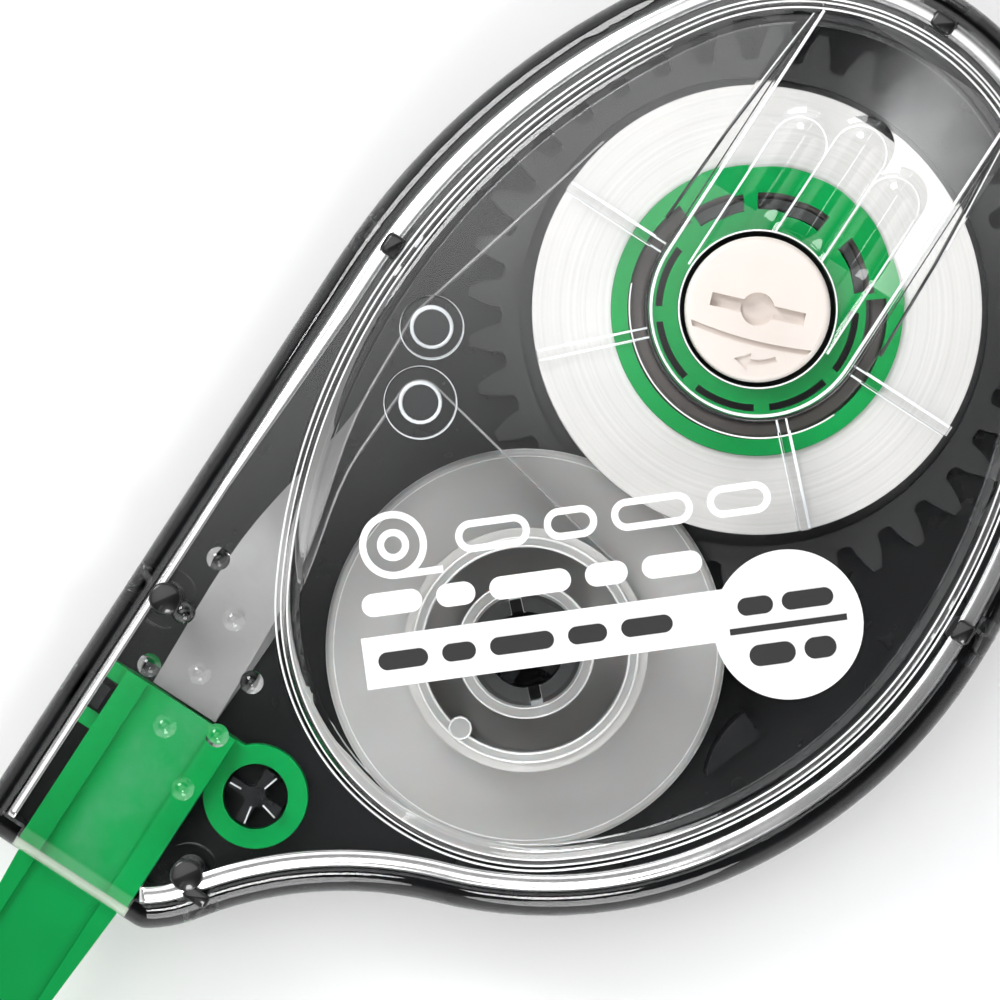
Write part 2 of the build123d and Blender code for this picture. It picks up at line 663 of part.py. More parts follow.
def pin_wrap(pin, start_angle, end_angle):
    """The tape bent round a guide pin, between two angles in radians."""
    inner = PIN_OFFSET - TAPE_THICKNESS / 2
    outer = PIN_OFFSET + TAPE_THICKNESS / 2
    middle = (start_angle + end_angle) / 2
    angles = (start_angle, middle, end_angle)
    inside = [polar(pin, inner, a) for a in angles]
    outside = [polar(pin, outer, a) for a in angles]
    outline = [
        ThreePointArc(*inside),
        Line(inside[2], outside[2]),
        ThreePointArc(*reversed(outside)),
        Line(outside[0], inside[0]),
    ]
    return prism(make_face(outline), TAPE_LOW, TAPE_HIGH)


def twisted_run(start, side):
    """Tape that turns from upright at a pin to flat at the head. side +1 is above the blade."""
    sections = []
    end = Vector(STRAND_END, HEAD_Y, 0)
    for step in range(TWIST_STEPS + 1):
        share = step / TWIST_STEPS
        part = min(max((share - TWIST_START) / (TWIST_END - TWIST_START), 0), 1)
        turn = part * part * (3 - 2 * part) * pi / 2
        x = start.X + (end.X - start.X) * share
        mid_y = start.Y + (end.Y - start.Y) * share
        lift = HEAD_OFFSET * sin(turn) * side
        across = Vector(0, -sin(turn), cos(turn))
        origin = Vector(x, mid_y, Z_TAPE + lift)
        plane = Plane(origin=origin, x_dir=across, z_dir=(-1, 0, 0))
        sections.append(plane * Rectangle(TAPE_WIDTH, TAPE_THICKNESS))
    return loft(sections, ruled=True)


def tape_feed():
    """From the supply roll, over the feed pin, twisting flat to the top of the head."""
    roll = ROLL_RADIUS + 0.1 + TAPE_THICKNESS / 2
    start, at_pin = outer_tangent(SUPPLY, roll, FEED_PIN, PIN_OFFSET, -1)
    arrive = atan2(at_pin.Y - FEED_PIN.Y, at_pin.X - FEED_PIN.X)
    leave = polar(FEED_PIN, PIN_OFFSET, pi / 2)
    run = upright_run(start, at_pin)
    run += pin_wrap(FEED_PIN, arrive, pi / 2)
    return run + twisted_run(leave, 1)


def tape_return():
    """From under the head, twisting upright to the return pin, and on to the take-up spool."""
    winding = WINDING_RADIUS + 0.1 + TAPE_THICKNESS / 2
    leave, end = outer_tangent(RETURN_PIN, PIN_OFFSET, TAKEUP, winding, 1)
    depart = atan2(leave.Y - RETURN_PIN.Y, leave.X - RETURN_PIN.X)
    arrive = polar(RETURN_PIN, PIN_OFFSET, pi / 2)
    run = upright_run(leave, end)
    run += pin_wrap(RETURN_PIN, depart, pi / 2)
    return run + twisted_run(arrive, -1)


# ---- printed label --------------------------------------------------------------------------
INK = 0.04
PRINT_ANGLE = -49.2
PRINT_ORIGIN = Vector(0.9, -0.5, 0)
BAND_LENGTH = 21.6
BAND_WIDTH = 2.9
BADGE = Vector(13.0, -1.0, 0)
BADGE_RADIUS = 4.2
WORD_LENGTHS = (3.4, 2.2, 4.6, 2.4, 3.4)
WORD_GAP = 0.8
WORD_RISE = 3.2
WORD_HEIGHT = 1.3
DARK_LENGTHS = (2.8, 1.9, 3.6, 2.2, 2.9)
DARK_GAP = 0.8
MARK_BARS = (4.2, 3.0, 4.6, 3.6)


def word_bars(lengths, gap, height, start, rise):
    """A row of rounded bars, standing in for words, along the print's own x."""
    bars = []
    x = start
    for length in lengths:
        bars.append(Pos(x + length / 2, rise) * SlotOverall(length, min(height, length * 0.9)))
        x += length + gap
    return bars


def printed(shapes, low):
    """Flat shapes in the print's own frame, laid on the dome."""
    place = Pos(PRINT_ORIGIN.X, PRINT_ORIGIN.Y, 0) * Rot(0, 0, PRINT_ANGLE)
    return Part() + [prism(place * shape, low, low + INK) for shape in shapes]


def roll_mark(x, y):
    """A plain picture of a roll of tape with its loose end: two rings and a line."""
    rim = Pos(x, y) * (Circle(1.9) - Circle(1.5))
    core = Pos(x, y) * (Circle(0.9) - Circle(0.5))
    tail = Pos(x + 1.3, y - 1.7) * Rectangle(2.6, 0.4)
    return [rim + tail, core]


def label_white_ink():
    """The white printing: a band joined to a round badge, and a row of bars above it."""
    band = Rectangle(BAND_LENGTH, BAND_WIDTH) + Pos(BADGE.X, BADGE.Y) * Circle(BADGE_RADIUS)
    words = word_bars(WORD_LENGTHS, WORD_GAP, WORD_HEIGHT, 0.3 - BAND_LENGTH / 2, WORD_RISE)
    title = [bar - offset(bar, -0.4) for bar in word_bars(MARK_BARS, WORD_GAP, 1.8, -4.8, 6.3)]
    return printed([band, *words, *title, *roll_mark(-8.3, 6.4)], DOME_TOP)


def label_black_ink():
    """The black printing on the white: a row of bars, and a dividing line on the badge."""
    words = word_bars(DARK_LENGTHS, DARK_GAP, 1.0, 0.8 - BAND_LENGTH / 2, 0)
    line = Pos(BADGE.X, BADGE.Y) * Rectangle(6.6, 0.35)
    upper = word_bars((2.0, 2.9), 0.5, 1.0, BADGE.X - 2.7, BADGE.Y + 1.3)
    lower = word_bars((2.6, 1.8), 0.5, 1.2, BADGE.X - 2.4, BADGE.Y - 1.5)
    return printed([*words, line, *upper, *lower], DOME_TOP + INK)


PARTS = {
    "lower_case": lower_case,
    "upper_cover": upper_cover,
    "drive_gear": drive_gear,
    "clutch_ring": clutch_ring,
    "slack_knob": slack_knob,
    "supply_core": supply_core,
    "tape_roll": tape_roll,
    "takeup_gear": takeup_gear,
    "takeup_spool": takeup_spool,
    "takeup_winding": takeup_winding,
    "head": head,
    "head_tape": head_tape,
    "tape_feed": tape_feed,
    "tape_return": tape_return,
    "label_white_ink": label_white_ink,
    "label_black_ink": label_black_ink,
}

os.makedirs("parts", exist_ok=True)
for name, make in PARTS.items():
    export_step(make(), f"parts/{name}.step")
    print(name, "written")
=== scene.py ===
"""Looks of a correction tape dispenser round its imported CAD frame, in metres."""

from math import atan2, cos, hypot, pi, radians, sin

import bmesh
import bpy
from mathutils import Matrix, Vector


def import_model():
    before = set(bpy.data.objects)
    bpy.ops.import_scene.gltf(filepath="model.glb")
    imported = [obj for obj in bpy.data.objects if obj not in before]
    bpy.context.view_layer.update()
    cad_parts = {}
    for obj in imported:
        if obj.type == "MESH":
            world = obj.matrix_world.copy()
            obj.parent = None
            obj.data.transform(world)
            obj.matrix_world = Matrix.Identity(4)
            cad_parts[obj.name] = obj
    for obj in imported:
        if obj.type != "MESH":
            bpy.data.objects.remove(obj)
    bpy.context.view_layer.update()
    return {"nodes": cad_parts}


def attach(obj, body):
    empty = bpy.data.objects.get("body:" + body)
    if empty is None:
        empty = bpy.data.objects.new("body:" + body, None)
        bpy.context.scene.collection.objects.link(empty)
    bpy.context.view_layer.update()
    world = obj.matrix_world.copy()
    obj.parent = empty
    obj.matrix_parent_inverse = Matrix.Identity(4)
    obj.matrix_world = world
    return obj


MM = 0.001

# The CAD's dimensions that the added pieces follow, in millimetres.
Y_SIDE = 21.4
X_REAR = 43.6
X_MOUTH = -25.6
SIDE_X = 12.0
REAR_RADIUS = 17.0
RIM_TOP = 12.0
DOME_TOP = 14.6
DOME_FILLET = 1.1
RIM_INSET = 3.1
DOME_FRONT = (1.8, 1.2)
DOME_FRONT_RADIUS = 17.6
SUPPLY = (22.6, 0.0)
TAKEUP = (-0.615, 0.5)
EYE = (-15.9, 8.79)
WELL_FLOOR = 11.6
RAMP_START = 27.2
RAMP_END = 39.4
RAMP_RISE = 2.1
FLUTE_PITCH = 3.1
FLUTE_ENDS = {-1: 31.6, 0: 33.0, 1: 31.6}
GUIDE_PINS = (((11.75, 14.84), 1.8), ((7.85, 13.07), 2.05))
SQUARE_PEGS = ((14.4, 19.15, 1.3, 1.0), (41.75, 0.0, 1.0, 1.4), (13.6, -19.55, 1.3, 1.1))
ROUND_PEGS = ((-9.2, 19.1), (-21.6, 9.6))
NOSE_KEY = (-22.3, 8.5, 0.8, 1.5)
STEP = 0.35

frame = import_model()
nodes = frame["nodes"]


# ---- node helpers -------------------------------------------------------------------------
class Graph:
    """A node tree with short ways to add nodes, link them and do sums."""

    def __init__(self, tree):
        self.tree = tree
        tree.nodes.clear()

    def add(self, kind, **settings):
        node = self.tree.nodes.new(kind)
        for key, value in settings.items():
            setattr(node, key, value)
        return node

    def link(self, source, out_key, target, in_key):
        self.tree.links.new(source.outputs[out_key], target.inputs[in_key])

    def math(self, operation, first, second=0.0):
        """The output of a math node; each value is a socket or a number."""
        node = self.add("ShaderNodeMath", operation=operation)
        for socket, value in zip(node.inputs, (first, second)):
            if isinstance(value, float):
                socket.default_value = value
            else:
                self.tree.links.new(value, socket)
        return node.outputs["Value"]

    def smooth(self, value, start, end, low=0.0, high=1.0, kind="SMOOTHSTEP"):
        """The value eased from low at start to high at end."""
        node = self.add("ShaderNodeMapRange", interpolation_type=kind)
        node.inputs["From Min"].default_value = start
        node.inputs["From Max"].default_value = end
        node.inputs["To Min"].default_value = low
        node.inputs["To Max"].default_value = high
        self.tree.links.new(value, node.inputs["Value"])
        return node.outputs["Result"]


class Shader(Graph):
    """A node material round one Principled shader."""

    def __init__(self, name):
        self.material = bpy.data.materials.new(name)
        self.material.use_nodes = True
        super().__init__(self.material.node_tree)
        self.output = self.add("ShaderNodeOutputMaterial")
        self.bsdf = self.add("ShaderNodeBsdfPrincipled")
        self.link(self.bsdf, "BSDF", self.output, "Surface")
        self.coords = self.add("ShaderNodeTexCoord")

    def set(self, **values):
        """Set uniform shader values; an underscore stands for a space."""
        for key, value in values.items():
            self.bsdf.inputs[key.replace("_", " ")].default_value = value

    def noise(self, scale, detail=3.0, roughness=0.55):
        """Noise in object space, scale in cells per millimetre."""
        mapping = self.add("ShaderNodeMapping")
        mapping.inputs["Scale"].default_value = (scale / MM,) * 3
        noise = self.add("ShaderNodeTexNoise")
        noise.inputs["Scale"].default_value = 1.0
        noise.inputs["Detail"].default_value = detail
        noise.inputs["Roughness"].default_value = roughness
        self.link(self.coords, "Object", mapping, "Vector")
        self.link(mapping, "Vector", noise, "Vector")
        return noise

    def ramp(self, noise, *stops):
        """A colour ramp of (position, colour) stops driven by a noise."""
        ramp = self.add("ShaderNodeValToRGB")
        for element, (place, colour) in zip(ramp.color_ramp.elements, stops):
            element.position = place
            element.color = (*colour, 1.0)
        self.link(noise, "Fac", ramp, "Fac")
        return ramp

    def vary_roughness(self, low, high, scale):
        ramp = self.ramp(self.noise(scale), (0.3, (low,) * 3), (0.7, (high,) * 3))
        self.link(ramp, "Color", self.bsdf, "Roughness")

    def bump(self, noise, distance, strength):
        bump = self.add("ShaderNodeBump")
        bump.inputs["Distance"].default_value = distance * MM
        bump.inputs["Strength"].default_value = strength
        self.link(noise, "Fac", bump, "Height")
        self.link(bump, "Normal", self.bsdf, "Normal")


def moulded(name, dark, light, roughness, grain=0.004):
    """Moulded plastic: faint colour drift, uneven gloss and a fine moulding grain."""
    shader = Shader(name)
    colour = shader.ramp(shader.noise(0.12, 2.0), (0.3, dark), (0.7, light))
    shader.link(colour, "Color", shader.bsdf, "Base Color")
    shader.vary_roughness(roughness * 0.85, roughness * 1.2, 0.4)
    shader.bump(shader.noise(6.0, 2.0), grain, 0.6)
    return shader


def clear_plastic():
    """Clear moulded cover: refracting, with a see-through shortcut for shadow rays."""
    shader = Shader("cover_clear_look")
    shader.set(Transmission_Weight=1.0, IOR=1.49, Base_Color=(0.93, 0.945, 0.95, 1))
    shader.vary_roughness(0.015, 0.05, 0.15)
    shader.bump(shader.noise(0.09, 2.0), 0.006, 0.35)
    path = shader.add("ShaderNodeLightPath")
    clear = shader.add("ShaderNodeBsdfTransparent")
    clear.inputs["Color"].default_value = (0.9, 0.91, 0.92, 1)
    mix = shader.add("ShaderNodeMixShader")
    shader.link(path, "Is Shadow Ray", mix, "Fac")
    for part, socket in zip((shader.bsdf, clear), mix.inputs[1:]):
        shader.tree.links.new(part.outputs["BSDF"], socket)
    shader.link(mix, "Shader", shader.output, "Surface")
    return shader


def black_case():
    shader = moulded("case_look", (0.004, 0.004, 0.0045), (0.007, 0.007, 0.0075), 0.3, 0.003)
    shader.set(Specular_IOR_Level=0.3)
    return shader


def green_plastic():
    shader = moulded("green_look", (0.0, 0.21, 0.04), (0.0, 0.25, 0.055), 0.4, 0.003)
    shader.set(Subsurface_Weight=0.15, Subsurface_Scale=0.6 * MM)
    shader.set(Subsurface_Radius=(0.3, 1.0, 0.5), Specular_IOR_Level=0.1)
    return shader


TAPE_LANE_Y = 14.7
TAPE_LANE_EDGES = (2.4, 1.2)
TAPE_LANE_X = (-26.5, -23.0)
TAPE_SHOWING = (0.035, 0.24, 0.09, 1.0)

# A Mix node's colour sockets share their names with its other sockets, so they go by number.
COLOUR_A = 6
COLOUR_B = 7
COLOUR_RESULT = 2


def head_plastic():
    """The head's green plastic, with the pale tape showing faintly through its middle."""
    shader = green_plastic()
    shader.material.name = "head_look"
    split = shader.add("ShaderNodeSeparateXYZ")
    shader.link(shader.coords, "Object", split, "Vector")
    across = shader.math("SUBTRACT", split.outputs["Y"], TAPE_LANE_Y * MM)
    lane = shader.smooth(shader.math("ABSOLUTE", across), *(v * MM for v in TAPE_LANE_EDGES))
    reach = shader.smooth(split.outputs["X"], *(v * MM for v in TAPE_LANE_X))
    patch = shader.ramp(shader.noise(0.35, 3.0, 0.6), (0.35, (0.15,) * 3), (0.7, (1.0,) * 3))
    amount = shader.math("MULTIPLY", lane, reach)
    blotch = shader.math("MULTIPLY", amount, patch.outputs["Color"])
    mix = shader.add("ShaderNodeMix", data_type="RGBA")
    base = shader.bsdf.inputs["Base Color"].links[0].from_socket
    shader.tree.links.new(blotch, mix.inputs["Factor"])
    shader.tree.links.new(base, mix.inputs[COLOUR_A])
    mix.inputs[COLOUR_B].default_value = TAPE_SHOWING
    shader.tree.links.new(mix.outputs[COLOUR_RESULT], shader.bsdf.inputs["Base Color"])
    return shader


def tape_layers():
    """Wound tape seen from its edge: fine rings of turns round the reel."""
    shader = Shader("tape_roll_look")
    shader.vary_roughness(0.51, 0.72, 0.4)
    place = shader.add("ShaderNodeMapping")
    place.inputs["Location"].default_value = (-SUPPLY[0] * MM, 0, 0)
    shader.link(shader.coords, "Object", place, "Vector")
    flat = shader.add("ShaderNodeVectorMath", operation="MULTIPLY")
    flat.inputs[1].default_value = (1, 1, 0)
    shader.link(place, "Vector", flat, 0)
    length = shader.add("ShaderNodeVectorMath", operation="LENGTH")
    shader.link(flat, "Vector", length, 0)
    turns = shader.add("ShaderNodeTexNoise", noise_dimensions="1D")
    turns.inputs["Scale"].default_value = 5.0 / MM
    turns.inputs["Detail"].default_value = 3.0
    shader.link(length, "Value", turns, "W")
    tint = shader.ramp(turns, (0.3, (0.505, 0.48, 0.46)), (0.7, (0.575, 0.55, 0.53)))
    shader.link(tint, "Color", shader.bsdf, "Base Color")
    shader.bump(turns, 0.02, 0.5)
    return shader


def milky_plastic():
    shader = moulded("spool_look", (0.42, 0.405, 0.39), (0.48, 0.465, 0.45), 0.38, 0.003)
    shader.set(Subsurface_Weight=0.3, Subsurface_Scale=0.8 * MM, Transmission_Weight=0.2)
    return shader


LOOKS = {
    "lower_case": black_case(),
    "upper_cover": clear_plastic(),
    "drive_gear": moulded("gear_look", (0.022, 0.0215, 0.021), (0.034, 0.033, 0.032), 0.45),
    "clutch_ring": moulded("rubber_look", (0.06, 0.044, 0.042), (0.085, 0.065, 0.062), 0.6, 0.01),
    "slack_knob": moulded("knob_look", (0.72, 0.65, 0.60), (0.80, 0.735, 0.69), 0.42, 0.004),
    "supply_core": green_plastic(),
    "tape_roll": tape_layers(),
    "takeup_gear": moulded("pinion_look", (0.02, 0.02, 0.02), (0.032, 0.031, 0.03), 0.4),
    "takeup_spool": milky_plastic(),
    "takeup_winding": moulded("backing_look", (0.45, 0.43, 0.41), (0.52, 0.50, 0.48), 0.5, 0.0),
    "head": head_plastic(),
    "head_tape": moulded("tape_look", (0.36, 0.35, 0.34), (0.42, 0.41, 0.40), 0.5, 0.002),
    "tape_feed": moulded("feed_look", (0.205, 0.195, 0.19), (0.25, 0.24, 0.235), 0.5, 0.002),
    "tape_return": moulded("return_look", (0.2, 0.195, 0.19), (0.26, 0.25, 0.245), 0.4, 0.002),
    "label_white_ink": moulded("white_ink_look", (0.86,) * 3, (0.9,) * 3, 0.5, 0.001),
    "label_black_ink": moulded("black_ink_look", (0.01,) * 3, (0.014,) * 3, 0.5, 0.001),
}
for name, look in LOOKS.items():
    for slot in nodes[name].material_slots:
        slot.material = look.material


# ---- plan outlines, in millimetres --------------------------------------------------------
def arc_points(centre, radius, start, end):
    """Points along an arc from one angle to another, in radians, both ends included."""
    count = max(2, int(abs(end - start) * radius / STEP) + 1)
    angles = [start + (end - start) * k / count for k in range(count + 1)]
    return [(centre[0] + radius * cos(a), centre[1] + radius * sin(a)) for a in angles]


def tangent_arc(start, end, heading):
    """An arc from start to end that leaves along heading; returns its points and end heading."""
    normal = (-heading[1], heading[0])
    delta = (end[0] - start[0], end[1] - start[1])
    reach = delta[0] * normal[0] + delta[1] * normal[1]
    radius = (delta[0] ** 2 + delta[1] ** 2) / (2 * reach)
    centre = (start[0] + normal[0] * radius, start[1] + normal[1] * radius)
    first = atan2(start[1] - centre[1], start[0] - centre[0])
    last = atan2(end[1] - centre[1], end[0] - centre[0])
    turn = 1 if radius > 0 else -1
    while (last - first) * turn < 0:
        last += 2 * pi * turn
    points = arc_points(centre, abs(radius), first, last)
    return points, (-sin(last) * turn, cos(last) * turn)


def side_radius(run, height, end_radius):
    """The radius of a side arc that starts level and meets an end arc run further along."""
    return (run**2 + height**2 - end_radius**2) / (2 * (height - end_radius))


def rear_points(inset):
    """Round the rear end, from the far side at SIDE_X to the straight side."""
    half = Y_SIDE - inset
    end_radius = REAR_RADIUS - inset
    centre_x = X_REAR - REAR_RADIUS
    radius = side_radius(centre_x - SIDE_X, half, end_radius)
    lean = atan2(radius - half, centre_x - SIDE_X)
    low = arc_points((SIDE_X, radius - half), radius, -pi / 2, -lean)
    end = arc_points((centre_x, 0), end_radius, -lean, lean)
    high = arc_points((SIDE_X, half - radius), radius, lean, pi / 2)
    return low + end[1:] + high[1:]


def waist_points():
    """The far side, waist and nose, from SIDE_X forward to the nose corner."""
    knots = [(-5.4, -16.0), (-15.3, -3.0), (-23.3, 7.7), (X_MOUTH, 10.2)]
    here, heading, points = (SIDE_X, -Y_SIDE), (-1, 0), [(SIDE_X, -Y_SIDE)]
    for knot in knots:
        stretch, heading = tangent_arc(here, knot, heading)
        points += stretch[1:]
        here = knot
    return points


def straight_points():
    count = int((SIDE_X - X_MOUTH) / STEP)
    return [(SIDE_X + (X_MOUTH - SIDE_X) * k / count, Y_SIDE) for k in range(count + 1)]


def rim_path():
    """The outline from the nose corner round the waist and rear end to the mouth."""
    return waist_points()[::-1] + rear_points(0)[1:] + straight_points()[1:]


def dome_path(inset):
    """The closed outline of the raised middle, inset from the case's outline."""
    half = Y_SIDE - inset
    radius = DOME_FRONT_RADIUS - inset
    x, y = DOME_FRONT
    upper = side_radius(SIDE_X - x, half - y, radius)
    lower = side_radius(SIDE_X - x, half + y, radius)
    upper_lean = atan2(upper - half + y, SIDE_X - x)
    lower_lean = atan2(lower - half - y, SIDE_X - x)
    points = rear_points(inset)
    points += arc_points((SIDE_X, half - upper), upper, pi / 2, pi - upper_lean)[1:]
    points += arc_points((x, y), radius, pi - upper_lean, pi + lower_lean)[1:]
    points += arc_points((SIDE_X, lower - half), lower, pi + lower_lean, 3 * pi / 2)[1:-1]
    return points


def inset_point(points, index, depth):
    """The point of an open path at index, moved to the path's left by depth."""
    x, y = points[index]
    before = points[max(index - 1, 0)]
    after = points[min(index + 1, len(points) - 1)]
    dx, dy = after[0] - before[0], after[1] - before[1]
    size = hypot(dx, dy)
    return (x - dy / size * depth, y + dx / size * depth)


def spoke(centre, angle, reaches, side, z):
    """A straight run from the first to the second reach along an angle, shifted sideways."""
    a = radians(angle)
    return [
        (centre[0] + r * cos(a) - side * sin(a), centre[1] + r * sin(a) + side * cos(a), z)
        for r in reaches
    ]


# ---- mesh helpers -------------------------------------------------------------------------
def finish_piece(name, bm, look, body):
    """Make the built mesh a smooth piece that rides a body."""
    bmesh.ops.recalc_face_normals(bm, faces=bm.faces)
    mesh = bpy.data.meshes.new(name)
    bm.to_mesh(mesh)
    bm.free()
    piece = bpy.data.objects.new(name, mesh)
    bpy.context.collection.objects.link(piece)
    mesh.materials.append(look.material)
    for face in mesh.polygons:
        face.use_smooth = True
    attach(piece, body)


def join_rings(bm, rings, closed=False):
    """Faces from each ring to the next, with a cap on both ends unless the run is closed."""
    pairs = list(zip(rings, rings[1:]))
    if closed:
        pairs.append((rings[-1], rings[0]))
    for one, two in pairs:
        for k in range(len(one)):
            n = (k + 1) % len(one)
            bm.faces.new((one[k], one[n], two[n], two[k]))
    if not closed:
        bm.faces.new(rings[0][::-1])
        bm.faces.new(rings[-1])


def add_tube(bm, path, radius, closed=False, sides=8, flat=1.0, tilt=0.0):
    """A round bead along a path of (x, y, z) in millimetres, added to bm."""
    rings = []
    last = len(path) - 1
    for index, point in enumerate(path):
        before = Vector(path[index - 1] if index or closed else path[index])
        after = Vector(path[(index + 1) % len(path)] if index < last or closed else path[index])
        along = (after - before).normalized()
        side = along.cross(Vector((0, 0, 1)))
        side = side.normalized() if side.length > 1e-6 else Vector((1, 0, 0))
        rise = side.cross(along).normalized()
        side, rise = side * cos(tilt) - rise * sin(tilt), rise * cos(tilt) + side * sin(tilt)
        size = radius[index] if isinstance(radius, list) else radius
        ring = []
        for k in range(sides):
            a = 2 * pi * k / sides
            place = Vector(point) + side * size * cos(a) + rise * size * flat * sin(a)
            ring.append(bm.verts.new(place * MM))
        rings.append(ring)
    join_rings(bm, rings, closed)


def beads(name, runs, look, body, slot, flat=1.0, tilt=0.0, sides=8):
    """One piece of several beads; each run is (path, radius, closed)."""
    bm = bmesh.new()
    for path, radius, closed in runs:
        add_tube(bm, path, radius, closed, sides, flat, tilt)
    finish_piece(name, bm, look, body)


def circle_path(centre, radius, z, start=0.0, end=2 * pi):
    points = arc_points(centre, radius, start, end)
    return [(x, y, z) for x, y in points[:-1]]


def at_level(points, z):
    return [(x, y, z) for x, y in points]


# ---- painted highlight and shade lines along the clear cover's edges ----------------------
def floor_level(x):
    """Height of the channel's floor along the cover."""
    share = min(max((x - RAMP_START) / (RAMP_END - RAMP_START), 0), 1)
    return WELL_FLOOR + RAMP_RISE * share


def edge_look(name, dark, light, roughness, cover=1.0):
    """A glossy bead look, see-through where cover is below 1; pale ones serve as painted highlight
    lines and dark ones as painted shade lines.
    """
    shader = moulded(name, dark, light, roughness, 0.001)
    shader.set(IOR=1.7, Alpha=cover)
    return shader


def rim_band():
    """The rounded bead round the cover's edge, pale and part metallic: a painted highlight band
    that also mirrors the lamps; narrow on the straight nose, wide elsewhere.
    """
    look = edge_look("rim_highlight_look", (0.66, 0.66, 0.66), (0.8, 0.8, 0.8), 0.16)
    look.set(Metallic=0.75)
    wall = 1.42
    narrow, growth = 0.25, 0.23
    growth_start, growth_run = -2.0, 12.0
    path = rim_path()
    run, widths = [], []
    for index, (x, y) in enumerate(path):
        on_nose = y > 20
        share = min(max((x - growth_start) / growth_run, 0), 1) if on_nose else 1.0
        width = narrow + growth * share
        place = inset_point(path, index, wall + width)
        if place[0] > X_MOUTH + 1.3:
            run.append((*place, RIM_TOP - 0.02))
            widths.append(width)
    shape = {"flat": 0.25, "tilt": radians(9), "sides": 16}
    beads("cover_rim_bead", [(run, widths, False)], look, "case", "cover_clear", **shape)


def dome_lines():
    """Three thin pale beads up the wall of the raised middle: painted highlight lines where its
    rounded steps catch the light.
    """
    look = edge_look("dome_highlight_look", (0.75, 0.75, 0.75), (0.92, 0.92, 0.92), 0.2)
    runs = []
    for inset in (2.8, 3.16, 3.52):
        if inset < RIM_INSET:
            level = RIM_TOP + 0.02
        else:
            lean = RIM_INSET + DOME_FILLET - inset
            level = DOME_TOP - DOME_FILLET + (DOME_FILLET**2 - lean**2) ** 0.5 - 0.02
        runs.append((at_level(dome_path(inset), level), 0.062, True))
    beads("cover_dome_edges", runs, look, "case", "cover_clear")


def channel_outline(half, end):
    """The plan of a slot edge: back along one side, round the supply axis and out again."""
    count = int((end - SUPPLY[0]) / STEP)
    xs = [end + (SUPPLY[0] - end) * k / count for k in range(count)]
    front = arc_points(SUPPLY, half, pi / 2, 3 * pi / 2)
    return [(x, half) for x in xs] + front + [(x, -half) for x in xs[::-1]]


def on_floor(plan):
    return [(x, y, floor_level(x)) for x, y in plan]


def channel_lines():
    """Pale beads along the edges of the thumb channel and of its three flutes: painted highlight
    lines.
    """
    look = edge_look("channel_highlight_look", (0.8, 0.8, 0.8), (0.95, 0.95, 0.95), 0.2)
    flute_size = 0.065
    window = 4.45
    floor_half, floor_end = 6.02, 38.6
    wall_radius = 7.28
    runs = [(on_floor(channel_outline(floor_half, floor_end)), 0.09, False)]
    front = arc_points(SUPPLY, wall_radius, radians(112), radians(248))
    runs.append((at_level(front, DOME_TOP), 0.045, False))
    for side in (-1, 1):
        edge = [(38.1, side * 6.42), (31, side * 7.02)]
        runs.append((at_level(edge, DOME_TOP), 0.045, False))
    for place in (-1.5, -0.5, 0.5, 1.5):
        y = place * FLUTE_PITCH
        start = SUPPLY[0] + max(window**2 - y**2, 0.0) ** 0.5
        end = FLUTE_ENDS[0] if abs(place) < 1 else FLUTE_ENDS[1]
        count = int((end - start) / STEP)
        plan = [(start + (end - start) * k / count, y) for k in range(count + 1)]
        runs.append((on_floor(plan), flute_size, False))
    for place, end in FLUTE_ENDS.items():
        plan = arc_points((end, place * FLUTE_PITCH), FLUTE_PITCH / 2, -pi / 2, pi / 2)
        runs.append((on_floor(plan), flute_size, False))
    runs.append((circle_path(SUPPLY, window, WELL_FLOOR), 0.05, True))
    beads("channel_edges", runs, look, "case", "cover_clear")


def channel_shadow_lines():
    """Dark beads along the top edge of the thumb channel's clear wall: painted shade lines standing
    in for the dark band that wall shows by refraction.
    """
    look = edge_look("channel_shadow_look", (0.01, 0.01, 0.01), (0.02, 0.02, 0.02), 0.2)
    runs = [(at_level(channel_outline(6.3, 38.2), DOME_TOP), 0.04, False)]
    for side in (-1, 1):
        plan = [(38.1, side * 6.2), (34, side * 6.6), (30, side * 6.9), (24, side * 7.12)]
        runs.append((at_level(plan, DOME_TOP), 0.09, False))
    beads("channel_dark_edges", runs, look, "case", "cover_clear")


def rib_lines():
    """Pale beads along the edges of the four guide ribs under the cover: painted highlight lines.
    """
    look = edge_look("rib_highlight_look", (0.8, 0.8, 0.8), (0.95, 0.95, 0.95), 0.2)
    reaches = (6.3, 12.65)
    half_width = 0.27
    level = 10.02
    runs = []
    for angle in (90, 135, 225, 270):
        for side in (-half_width, half_width):
            runs.append((spoke(SUPPLY, angle, reaches, side, level), 0.065, False))
    beads("guide_rib_edges", runs, look, "case", "cover_clear")


# ---- other small pieces -------------------------------------------------------------------
def rounded_block(bm, outline, low, high, edge=0.15):
    """A prism over an outline of (x, y), with a rounded top edge."""
    middle_x = sum(x for x, y in outline) / len(outline)
    middle_y = sum(y for x, y in outline) / len(outline)
    levels = [(0.0, low), (0.0, high - edge), (edge * 0.3, high - edge * 0.3), (edge, high)]
    rings = []
    for inset, level in levels:
        ring = []
        for x, y in outline:
            dx, dy = x - middle_x, y - middle_y
            share = 1 - inset / hypot(dx, dy)
            place = Vector((middle_x + dx * share, middle_y + dy * share, level))
            ring.append(bm.verts.new(place * MM))
        rings.append(ring)
    join_rings(bm, rings)


def rounded_rectangle(x, y, length, width, corner=0.3):
    points = []
    for k, (sx, sy) in enumerate(((1, 1), (-1, 1), (-1, -1), (1, -1))):
        middle_x = x + sx * (length / 2 - corner)
        middle_y = y + sy * (width / 2 - corner)
        for j in range(5):
            a = k * pi / 2 + pi / 8 * j
            points.append((middle_x + corner * cos(a), middle_y + corner * sin(a)))
    return points


